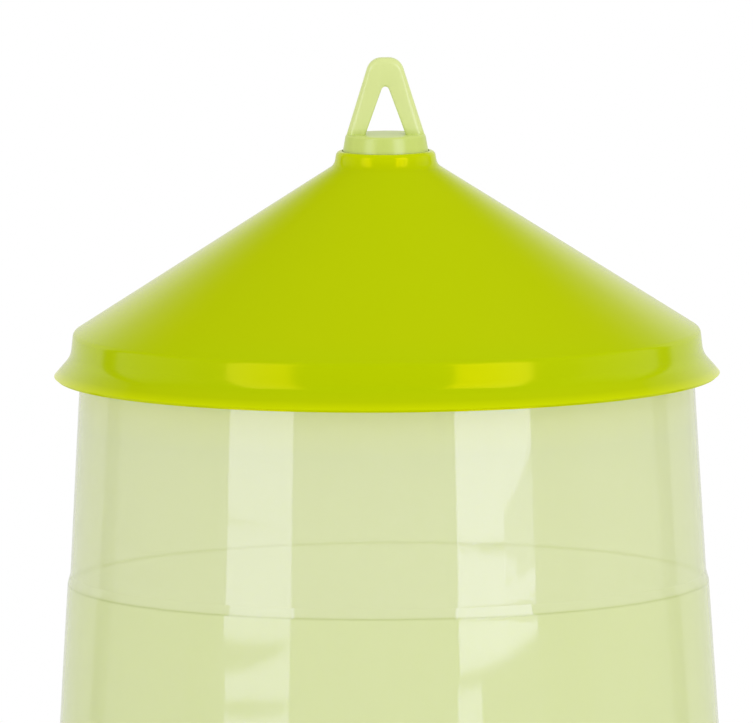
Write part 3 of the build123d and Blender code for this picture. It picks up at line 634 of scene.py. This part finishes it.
def make_roof_lid():
    """Path from the collar's mouth down to the drip edge, with the wall laid inside it and carried round the
    axis, and gussets at even angles under the corner."""
    path = rounded_path(
        [
            (COLLAR_MOUTH, lid_high.z),
            (collar_radius - COLLAR_DRAFT, lid_high.z),
            (collar_radius, collar_base_z),
            (band_top_radius, corner_z),
            (band_bottom_radius, band_bottom_z),
            (lid_radius - LIP_INSET, rim_z),
        ],
        [COLLAR_ROUND, COLLAR_FILLET, CORNER_ROUND, FLARE_ROUND],
    )
    shell = lathe("roof_lid_shell", wall_profile(path, LID_WALL), segments=256, sharp=30)
    gussets = []
    outer = band_top_radius - LID_WALL / 2
    inner = outer - GUSSET_LENGTH
    for turn in range(GUSSETS):
        outline = [
            (inner, shelf_z + LID_GAP),
            (outer, shelf_z + LID_GAP),
            (outer, lid_underside(outer) + cone_drop / 2),
            (inner, lid_underside(inner) + cone_drop / 2),
        ]
        angle = 2 * pi / GUSSETS * (turn + 0.5)
        gussets.append(radial_prism(f"gusset_{turn}", outline, angle, GUSSET_WIDTH))
    return join("roof_lid_moulding", [shell] + gussets)


roof_lid = make_roof_lid()
wear(roof_lid, lime)
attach(roof_lid, "lid")
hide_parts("roof_lid")
print("roof lid", len(roof_lid.data.polygons), "faces")

# %% [markdown]
# ## Reservoir
#
# The tank's wall is a drafted tube with one small nesting step. A thin wall of this size never cools quite
# round: it keeps hollows and swells of a few hundredths of a millimetre, which nobody sees until a window
# is reflected in them. So the radius gets a sum of low waves, the same on both skins, so that the wall
# keeps its thickness.

# %% Reservoir wall
WAVE_HEIGHT = 0.000021
WAVES = 9
WAVE_FADE = 0.03
TANK_SEGMENTS = 256
ROW_HEIGHT = 0.0035
MOUTH_EDGE = 0.0008
FOOT_ROUND = 0.0009

wave_random = np.random.default_rng(11)
wave_lobes = wave_random.integers(2, 11, WAVES)
wave_rise = wave_random.uniform(2, 15, WAVES) * wave_random.choice((-1, 1), WAVES)
wave_phase = wave_random.uniform(0, 2 * pi, WAVES)


def wall_waves(turn, z):
    """Sum of waves: each has a whole number of lobes round the wall and a slope up it, so that offset =
    height x sum of sin(lobes x turn + 2 pi x rise x z + phase) / sqrt(waves). It fades out at both ends."""
    total = sum(np.sin(n * turn + k * z * 2 * pi + p) for n, k, p in zip(wave_lobes, wave_rise, wave_phase))
    fade = np.clip((shelf_z - z) / WAVE_FADE, 0, 1) * np.clip((z - tank_low.z) / WAVE_FADE, 0, 1)
    return WAVE_HEIGHT * fade * total / sqrt(WAVES)


def dense(path):
    """The same path with its long runs divided evenly, so that the waves have points to move."""
    lengths = np.linalg.norm(np.diff(path, axis=0), axis=1)
    counts = np.maximum(1, np.ceil(lengths / ROW_HEIGHT).astype(int))
    runs = [a + (b - a) * np.linspace(0, 1, n, endpoint=False)[:, None]
            for a, b, n in zip(path[:-1], path[1:], counts)]
    return np.concatenate(runs + [path[-1:]])


def make_reservoir_wall():
    """Closed profile down the outside, round the foot, and up the inside past the ledge and the shelf. The
    waves are added to its radius as it goes round the axis."""
    outer = rounded_path(
        [
            (upper_radius(shelf_z) - MOUTH_EDGE, shelf_z),
            (upper_radius(shelf_z), shelf_z),
            (upper_radius(step_top_z), step_top_z),
            (lower_radius(step_bottom_z), step_bottom_z),
            (lower_radius(tank_low.z), tank_low.z),
            (lower_radius(tank_low.z) - TANK_WALL, tank_low.z),
        ],
        [MOUTH_EDGE * 0.9, STEP_ROUND, STEP_ROUND, FOOT_ROUND],
        steps=5,
    )
    shelf_inner = upper_radius(shelf_z) - TANK_WALL - SHELF_WIDTH
    inner = np.array(
        [
            (lower_radius(tank_low.z) - TANK_WALL, tank_low.z),
            (lower_radius(ledge_z) - TANK_WALL, ledge_z),
            (LEDGE_RADIUS, ledge_z),
            (LEDGE_RADIUS, ledge_z + LEDGE_THICKNESS),
            (lower_radius(ledge_z + LEDGE_THICKNESS) - TANK_WALL, ledge_z + LEDGE_THICKNESS),
            (lower_radius(step_bottom_z) - TANK_WALL, step_bottom_z),
            (upper_radius(step_top_z) - TANK_WALL, step_top_z),
            (upper_radius(shelf_z - SHELF_THICKNESS) - TANK_WALL, shelf_z - SHELF_THICKNESS),
            (shelf_inner, shelf_z - SHELF_THICKNESS),
            (shelf_inner, shelf_z),
            (upper_radius(shelf_z) - MOUTH_EDGE, shelf_z),
        ]
    )
    profile = np.concatenate([dense(outer)[:-1], dense(inner)[:-1]])
    turn = full_turn(TANK_SEGMENTS)
    radius = profile[:, 0] + wall_waves(turn, profile[:, 1])
    return grid_mesh("reservoir_wall", turned(radius, profile[:, 1], turn))


def part_skins(piece, outer, inner):
    """Give a hollow body of revolution two finishes: faces that look at the axis, which are those where
    normal . centre is negative in plan, get the inner one."""
    for skin in (outer, inner):
        piece.data.materials.append(skin.material)
    faces = piece.data.polygons
    normals, centres = np.empty((2, len(faces), 3), np.float32)
    faces.foreach_get("normal", normals.ravel())
    faces.foreach_get("center", centres.ravel())
    facing = (normals[:, :2].astype(float) * centres[:, :2]).sum(1)
    faces.foreach_set("material_index", (facing < 0).astype(np.int32))


reservoir_wall = make_reservoir_wall()
part_skins(reservoir_wall, natural_outer, natural_inner)
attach(reservoir_wall, "tank")
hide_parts("reservoir")
print("reservoir wall", len(reservoir_wall.data.polygons), "faces")

# %% [markdown]
# ## Spider and hub
#
# With the lid lifted, four arms show in the reservoir's mouth. Each has a broad flange on top and a deep
# rib under it, so that its section is a T, and they carry the hub that the hanger turns in. Near the tank's
# foot, four short lugs reach inwards and lock into the pan. All of them are plates, so one helper makes
# them.

# %% Spider, hub and bayonet lugs
HUB_RADIUS = 0.027
HUB_BORE = 0.01995
HUB_HEIGHT = 0.010
ARMS = 4
ARM_GAP = 0.0034
ARM_ROOT = 0.002
ARM_SECTIONS = ((0.003, 0.016), (0.012, 0.004))  # depth and width of the flange, then of the rib
LUGS = 4
LUG_WIDTH = 0.022
LUG_REACH = 0.0048
LUG_HEIGHT = 0.005
LUG_RISE = 0.026

hub_top = tank_high.z


def make_spider():
    """Hub as a lathed ring, arms as plates whose outline runs down the slope of the roof, and lugs as plates
    that stand in the wall."""
    ring = np.array([(HUB_BORE, hub_top - HUB_HEIGHT), (HUB_RADIUS, hub_top - HUB_HEIGHT),
                     (HUB_RADIUS, hub_top), (HUB_BORE, hub_top)])
    pieces = [lathe("hub", ring, segments=96)]
    arm_outer = upper_radius(shelf_z) - TANK_WALL / 2
    outer_z = lid_underside(arm_outer) - ARM_GAP / cos(CONE_SLOPE)
    hub_edge = HUB_RADIUS - ARM_ROOT
    for turn in range(ARMS):
        for depth, width in ARM_SECTIONS:
            upright = depth / cos(CONE_SLOPE)
            root = hub_top - min(upright, HUB_HEIGHT)
            outline = [(hub_edge, root), (HUB_RADIUS, root), (arm_outer, outer_z - upright),
                       (arm_outer, outer_z), (HUB_RADIUS, hub_top), (hub_edge, hub_top)]
            angle = 2 * pi / ARMS * (turn + 0.5)
            pieces.append(radial_prism(f"arm_{turn}", outline, angle, width))
    for turn in range(LUGS):
        low = tank_low.z + LUG_RISE
        outer = lower_radius(low) - TANK_WALL / 2
        inner = outer - LUG_REACH - TANK_WALL / 2
        outline = [(inner, low), (outer, low), (outer, low + LUG_HEIGHT), (inner, low + LUG_HEIGHT)]
        pieces.append(radial_prism(f"lug_{turn}", outline, 2 * pi / LUGS * turn, LUG_WIDTH))
    return join("reservoir_spider", pieces)


reservoir_spider = make_spider()
wear(reservoir_spider, natural_ribs)
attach(reservoir_spider, "tank")
print("spider", len(reservoir_spider.data.polygons), "faces")

# %% [markdown]
# ## Turret
#
# The hanger turns in the hub, so its lower part is a solid of revolution: a flange under the hub, a neck
# with a groove for the spring clip, and a taper up to the closed top that shows in the lid's collar. It is
# lathed.

# %% Turret
TURRET_NECK = 0.0196
TURRET_TOP = 0.0179
TURRET_TAPER = 0.0096
TURRET_WALL = 0.0028
TURRET_ROUND = 0.0012
TURRET_RISE = 0.0074
TAPER_ROUND = 0.02
FLANGE_THICKNESS = 0.004
GROOVE_DEPTH = 0.0012
GROOVE_ROUND = 0.0002

turret_z = lid_high.z + TURRET_RISE


def make_turret():
    """Flange, neck with the clip's groove, taper and closed top, and the moulded hollow under it."""
    outside = rounded_path(
        [
            (TURRET_NECK - GROOVE_DEPTH, clip_high.z),
            (TURRET_NECK, clip_high.z),
            (TURRET_NECK, turret_z - TURRET_TAPER),
            (TURRET_TOP, turret_z),
            (0.0, turret_z),
        ],
        [GROOVE_ROUND, TAPER_ROUND, TURRET_ROUND],
    )
    profile = np.concatenate(
        [
            [
                (TURRET_NECK - TURRET_WALL, hanger_low.z),
                (hanger_high.x, hanger_low.z),
                (hanger_high.x, hanger_low.z + FLANGE_THICKNESS),
                (TURRET_NECK, hanger_low.z + FLANGE_THICKNESS),
                (TURRET_NECK, clip_low.z),
                (TURRET_NECK - GROOVE_DEPTH, clip_low.z),
            ],
            outside,
            [
                (0.0, turret_z - TURRET_WALL),
                (TURRET_TOP - TURRET_WALL, turret_z - TURRET_WALL),
                (TURRET_NECK - TURRET_WALL, turret_z - TURRET_TAPER),
            ],
        ]
    )
    return lathe("turret", profile, segments=128)


turret = make_turret()
print("turret", len(turret.data.polygons), "faces, top at", round(turret_z, 4), "m")

# %% [markdown]
# ## Hanging eye
#
# The plate with the hanging eye is a band that runs up one leg, over the top and down the other. Its
# outside is two straight legs that meet a circle, and its inside is the triangular eye. At each place along
# the band the section is a rounded bar that reaches from one to the other. A band has clean rounds on both
# sides of the hole, which cutting a hole in a plate would not give.

# %% Hanging plate
PLATE_THICKNESS = 0.009
PLATE_TOP_RADIUS = 0.0070
PLATE_TOP_FLAT = 0.0031
PLATE_ROUND = 0.0030
EYE_WIDTH = 0.0182
EYE_HALF_ANGLE = radians(19.9)
EYE_APEX_ROUND = 0.00175
EYE_EDGE_ROUND = 0.0011
STATIONS = 97
SHOULDER_STEPS = 21
APEX_STEPS = 17
CORNER_STEPS = 5


def resample(path, count):
    """The path again with evenly spaced points, by interpolating along its length."""
    length = np.concatenate([[0], np.cumsum(np.linalg.norm(np.diff(path, axis=0), axis=1))])
    at = np.linspace(0, length[-1], count)
    return np.stack([np.interp(at, length, path[:, k]) for k in range(2)], 1)


def plate_outlines():
    """Outer outline O(u) and the eye's outline I(u), both from the right foot over the top to the left foot.

    The leg is the tangent from its foot to the shoulder's circle: the tangent point is turned from the line
    of centres by acos(radius / distance). The eye is a triangle with a round apex.
    """
    centre = np.array([PLATE_TOP_FLAT / 2, hanger_high.z - PLATE_TOP_RADIUS])
    foot = np.array([TURRET_TOP, turret_z - TURRET_WALL / 2])
    base_z = foot[1]
    reach = foot - centre
    tangent_angle = atan2(reach[1], reach[0]) + np.arccos(PLATE_TOP_RADIUS / np.linalg.norm(reach))
    arc = np.linspace(tangent_angle, pi / 2, SHOULDER_STEPS)
    shoulder = np.stack([np.cos(arc), np.sin(arc)], 1) * PLATE_TOP_RADIUS + centre
    right = np.concatenate([[foot], shoulder])
    outer = np.concatenate([right, right[::-1] * (-1, 1)])
    eye_half = EYE_WIDTH / 2 + (turret_z - base_z) * tan(EYE_HALF_ANGLE)
    eye_apex = turret_z + EYE_WIDTH / 2 / tan(EYE_HALF_ANGLE)
    triangle = [(eye_half, base_z), (0, eye_apex), (-eye_half, base_z)]
    inner = rounded_path(triangle, [EYE_APEX_ROUND], steps=APEX_STEPS)
    return resample(outer, STATIONS), resample(inner, STATIONS)


def make_hanging_plate():
    """Band between the two outlines. At each u the section is a rectangle from I to O and from front to
    back. Each corner is a quarter circle, r (cos b - 1) along and r (sin b - 1) in depth from its sharp
    place, and the outer corners are rounded more than the inner ones. A row of equal points closes each
    foot."""
    outer, inner = plate_outlines()
    across = np.linalg.norm(outer - inner, axis=1)[:, None]
    quarter = np.linspace(0, pi / 2, CORNER_STEPS)
    corners = ((1, 1, PLATE_ROUND), (1, -1, PLATE_ROUND), (-1, -1, EYE_EDGE_ROUND), (-1, 1, EYE_EDGE_ROUND))
    section = []
    for out, front, corner in corners:
        bend = quarter[::-1] if out * front > 0 else quarter
        edge = across if out > 0 else 0 * across
        along = edge + out * corner * (np.cos(bend) - 1)
        depth = front * (PLATE_THICKNESS / 2 + corner * (np.sin(bend) - 1))
        section.append(np.stack([along, depth + 0 * along], -1))
    section = np.concatenate(section, axis=1)
    direction = ((outer - inner) / across)[:, None, :]
    plan = inner[:, None, :] + direction * section[..., :1]
    points = np.stack([plan[..., 0], section[..., 1], plan[..., 1]], -1)
    first, last = (foot.mean(1, keepdims=True) + 0 * foot for foot in (points[:1], points[-1:]))
    return grid_mesh("hanging_plate", np.concatenate([first, points, last]), wrap=(False, True), sharp=50)


hanger_piece = join("hanger_moulding", [turret, make_hanging_plate()])
wear(hanger_piece, natural_hanger)
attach(hanger_piece, "hanger")
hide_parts("hanger")
print("hanger", len(hanger_piece.data.polygons), "faces")

# %% [markdown]
# ## The pieces that keep their solids
#
# The tank floor, its gasket, the trough pan and the float valve are already the right shape in the frame.
# They only need their finishes: lime and natural resin for the mouldings, black rubber for the seals, satin
# acetal for the valve, red for the float, brass for the nozzle and bright steel for the clips and pins.


# %% Finishes of the valve and seals
def satin(name, light, dark, roughness, metallic=0.0, grain=0.08):
    """Even satin surface with a slow drift between two tones and a fine grain. Its roughness grows by 0.08
    times the drift."""
    finish = Finish(name)
    drift = finish.noise(25.0, detail=3.0)
    finish.set(Base_Color=finish.blend(drift, dark, light), Roughness=drift * 0.08 + roughness,
               Metallic=metallic)
    finish.grain(700.0, grain)
    return finish


rubber = satin("seal_rubber", (0.030, 0.030, 0.031, 1), (0.020, 0.020, 0.021, 1), 0.62, grain=0.2)
acetal = satin("valve_acetal", (0.80, 0.80, 0.76, 1), (0.74, 0.74, 0.70, 1), 0.38)
float_red = satin("float_polypropylene", (0.66, 0.035, 0.018, 1), (0.58, 0.028, 0.014, 1), 0.35)
brass = satin("turned_brass", (0.78, 0.57, 0.25, 1), (0.70, 0.49, 0.20, 1), 0.26, metallic=1.0)
steel = satin("spring_steel", (0.62, 0.62, 0.63, 1), (0.52, 0.52, 0.53, 1), 0.28, metallic=1.0)

for finish, names in (
    (lime, ("trough_pan",)),
    (natural_ribs, ("tank_floor",)),
    (rubber, ("floor_gasket", "valve_washer_lower", "valve_washer_upper", "valve_pad")),
    (acetal, ("valve_body", "valve_nut", "float_lever", "strainer")),
    (float_red, ("float",)),
    (brass, ("valve_nozzle", "float_insert")),
    (steel, ("hanger_clip", "lever_pin", "pin_circlip", "float_screw")),
):
    for name in names:
        wear(nodes[name], finish)
        nodes[name].data.shade_smooth()
    print(finish.material.name, "on", ", ".join(names))

# %% [markdown]
# ## Camera
#
# The camera stands seven and a half metres away and looks slightly down through a long lens, so the fount
# is drawn almost without perspective. At that distance the frame is as wide as FRAME_WIDTH, from which the
# lens follows. The camera is turned a fraction of a degree about its own axis.

# %% Camera
DISTANCE = 7.5
ELEVATION = radians(6.2)
ROLL = radians(-0.36)
FRAME_WIDTH = 0.3389
SENSOR_WIDTH = 36.0
CLIP_END = 200.0
AIM = Vector((-0.0047, 0.0, rim_z + 0.0055))

camera_data = bpy.data.cameras.new("camera")
camera = add_object("camera", camera_data)
bpy.context.scene.camera = camera
camera.location = AIM + DISTANCE * Vector((0, -cos(ELEVATION), sin(ELEVATION)))
camera.rotation_euler = (pi / 2 - ELEVATION, 0, 0)
camera.rotation_euler.rotate_axis("Z", ROLL)
camera_data.sensor_width = SENSOR_WIDTH
camera_data.lens = SENSOR_WIDTH * DISTANCE / FRAME_WIDTH
camera_data.clip_end = CLIP_END
print(f"a lens of {camera_data.lens:.0f} mm at {DISTANCE} m")

# %% [markdown]
# ## Light and floor
#
# A glossy thing shows the room it stands in, so the room is designed like a piece. A diffuse surface only
# needs an even light, and the world gives it that at a plain level. What the glossy walls mirror is another
# matter: two tall soft boxes beside the camera, a pale room with a darker strip beyond each soft box, a
# dark gap on each side of the backdrop, and a dark ceiling. The soft boxes are lamps that only reflections
# see. Each is a patchwork of panels with narrow seams, a little out of level, because a mirror image in a
# wall shows where a soft box ends and where its cloth is joined.


# %% Soft boxes
LAMP_DISTANCE = 1.6
# Each panel: left and right edge, low and high edge, tilt in degrees, and its share of the radiance.
LEFT_PANELS = (
    (-0.360, 0.335, 0.2900, 1.7500, 0.0, 1.0),
    (-0.365, 0.335, 0.2700, 0.3100, 0.9, 1.0),
    (-0.365, 0.335, 0.2195, 0.2687, 1.2, 1.0),
    (-0.335, 0.335, 0.1965, 0.2105, 2.3, 1.0),
    (-0.335, 0.335, 0.1945, 0.2040, 1.0, 1.0),
    (-0.335, 0.335, 0.1000, 0.1855, 1.8, 1.0),
)
RIGHT_PANELS = (
    (-0.405, 0.080, 0.2850, 1.7500, 0.0, 1.0),
    (-0.405, 0.080, 0.2664, 0.3000, -1.0, 1.0),
    (0.080, 0.405, 0.3100, 1.7500, 0.0, 1.0),
    (0.080, 0.405, 0.2925, 0.3250, 3.4, 1.0),
    (0.080, 0.405, 0.2330, 0.2950, 0.0, 0.4),
    (-0.405, 0.080, 0.2250, 0.2617, -1.6, 1.0),
    (0.070, 0.200, 0.2360, 0.2480, -3.0, 1.0),
    (-0.405, 0.410, 0.2195, 0.2330, 0.0, 1.0),
    (-0.430, -0.190, 0.1000, 0.2110, 0.0, 0.8),
)


def soft_box(name, azimuth, radiance, panels):
    """Upright panels that face the axis from an azimuth, which counts from the camera's side. Left and right
    are measured along the box from its middle. A panel's power is its radiance times its area times pi."""
    for left, right, low, high, tilt, share in panels:
        light = bpy.data.lights.new(name, "AREA")
        light.shape = "RECTANGLE"
        light.size, light.size_y = right - left, high - low
        light.energy = radiance * share * light.size * light.size_y * pi
        lamp = add_object(name, light)
        across = (left + right) / 2
        lamp.location = (LAMP_DISTANCE * sin(azimuth) + across * cos(azimuth),
                         -LAMP_DISTANCE * cos(azimuth) + across * sin(azimuth), (low + high) / 2)
        lamp.rotation_euler = (pi / 2, 0, azimuth)
        lamp.rotation_euler.rotate_axis("Z", radians(tilt))
        lamp.visible_camera = lamp.visible_diffuse = lamp.visible_transmission = False
    print(name, len(panels), "panels")


soft_box("soft_box_left", radians(-45.5), 5.4, LEFT_PANELS)
soft_box("soft_box_right", radians(38.1), 7.2, RIGHT_PANELS)

# %% [markdown]
# ### The room
#
# The room's brightness for reflections is one curve over the azimuth, zero at the camera's side, times one
# over the height of the look, from level to straight up. The world uses both. The floor shows the curve of
# the azimuth to reflections that look down, so that the screens seem to stand on it. For diffuse surfaces
# the world is almost even, with only a little more light from the camera's side and from high on the right.
# The view itself and the look through the walls see plain white.

# %% The room's two curves
# Azimuth in degrees and brightness, then the upward part of the look's direction and a factor.
ROOM_PLAN = (
    (-180, 0.78), (-155, 0.78), (-142, 0.70), (-128, 0.66), (-126.5, 0.0), (-117.5, 0.0), (-116, 0.56),
    (-76, 0.55), (-75, 0.36), (-64, 0.36), (-63, 0.66), (55, 0.66), (56, 0.30), (75, 0.30), (76, 0.70),
    (90, 0.62), (116, 0.58), (117.5, 0.0), (126.5, 0.0), (128, 0.66), (142, 0.70), (155, 0.78), (180, 0.78),
)
ROOM_HEIGHT = (
    (0.0, 0.62), (0.10, 0.68), (0.25, 0.64), (0.35, 0.54), (0.48, 0.26), (0.60, 0.06), (0.68, 0.0),
)
ROOM_SCALE = 1.55


def ramp(graph, value, stops):
    """The value looked up along a ramp of (position, brightness) pairs, with straight runs between them."""
    made = graph.node("ShaderNodeValToRGB", {}, value)
    elements = made.output.node.color_ramp.elements
    while len(elements) < len(stops):
        elements.new(0.5)
    for element, (position, shade) in zip(elements, stops):
        element.position = position
        element.color = (shade, shade, shade, 1)
    return made


def room_side(graph, place):
    """Brightness of the room in the azimuth of a place, which is atan2(x, -y)."""
    azimuth = graph.axis(place, 0).math("ARCTAN2", graph.axis(place, 1) * -1.0)
    stops = [(degrees / 360 + 0.5, shade) for degrees, shade in ROOM_PLAN]
    return ramp(graph, azimuth / (2 * pi) + 0.5, stops)


def light_path(graph, kind):
    """1 for rays of this kind and 0 for all others."""
    return graph.node("ShaderNodeLightPath", {}, output=f"Is {kind} Ray")


print("room curves with", len(ROOM_PLAN), "and", len(ROOM_HEIGHT), "stops")

# %% World
SIDE_LIGHT = 0.045
HIGH_SIDE_LIGHT = 0.25
FRONT_LIGHT = 0.12
WHITE = (1, 1, 1, 1)

world = bpy.data.worlds.new("studio")
bpy.context.scene.world = world
world.use_nodes = True
room = Graph(world.node_tree)
direction = room.node("ShaderNodeTexCoord", {}, output="Generated")
mirrored = room_side(room, direction) * ramp(room, room.axis(direction, 2), ROOM_HEIGHT) * ROOM_SCALE
right_light = room.axis(direction, 0) * (room.axis(direction, 2) * HIGH_SIDE_LIGHT + SIDE_LIGHT)
lit = right_light - room.axis(direction, 1) * FRONT_LIGHT + 1
lit = (mirrored - lit) * light_path(room, "Glossy") + lit
seen = light_path(room, "Camera").math("MAXIMUM", light_path(room, "Transmission"))
room.feed(room.tree.nodes["Background"].inputs["Strength"], (1 - lit) * seen + lit)
room.feed(room.tree.nodes["Background"].inputs["Color"], WHITE)
print("world", len(room.tree.nodes), "nodes")

# %% [markdown]
# ### The floor
#
# The floor is a wide disc of pale paper that catches a soft shadow close to the fount. Farther out it fades
# into plain white, so that no horizon shows. It lies a hair below the pan's foot, so that the two surfaces
# never share a plane.

# %% Floor
FLOOR_RADIUS = 60.0
FLOOR_ROWS = 24
FLOOR_SEGMENTS = 96
FLOOR_DROP = 0.0002
FADE_START, FADE_END = 0.45, 1.1
PAPER = (0.93, 0.93, 0.93, 1)


def make_floor():
    """Disc in polar rows. The radius grows as the square of the row, so rows lie close near the fount."""
    rows = np.linspace(0, 1, FLOOR_ROWS)[:, None] ** 2 * FLOOR_RADIUS
    return grid_mesh("floor", turned(rows, -FLOOR_DROP, full_turn(FLOOR_SEGMENTS).T), wrap=(False, True))


def floor_paper():
    """Mix of matt paper and a plain glow, by the share of the way from the fade's start to its end. Only
    rays that look see the glow, so it lights nothing. Mirrored looks see the room's brightness in it."""
    paper = Finish("floor_paper")
    paper.set(Base_Color=PAPER, Roughness=0.9)
    distance = paper.node("ShaderNodeVectorMath", {"operation": "LENGTH"}, paper.place, output="Value")
    far = ((distance - FADE_START) / (FADE_END - FADE_START)).clamp()
    glossy = light_path(paper, "Glossy")
    looking = (light_path(paper, "Camera") + glossy + light_path(paper, "Transmission")).clamp()
    glow = paper.node("ShaderNodeEmission", {}, output="Emission", Color=WHITE,
                      Strength=(room_side(paper, paper.place) - 1) * glossy + 1)
    matt = Socket(paper, paper.shader.outputs[0])
    mixed = paper.node("ShaderNodeMixShader", {}, looking * far, matt, glow)
    paper.feed(paper.tree.nodes["Material Output"].inputs["Surface"], mixed)
    return paper


floor = make_floor()
floor.data.materials.append(floor_paper().material)
print("floor", len(floor.data.polygons), "faces")

bpy.context.scene.view_settings.view_transform = "Standard"
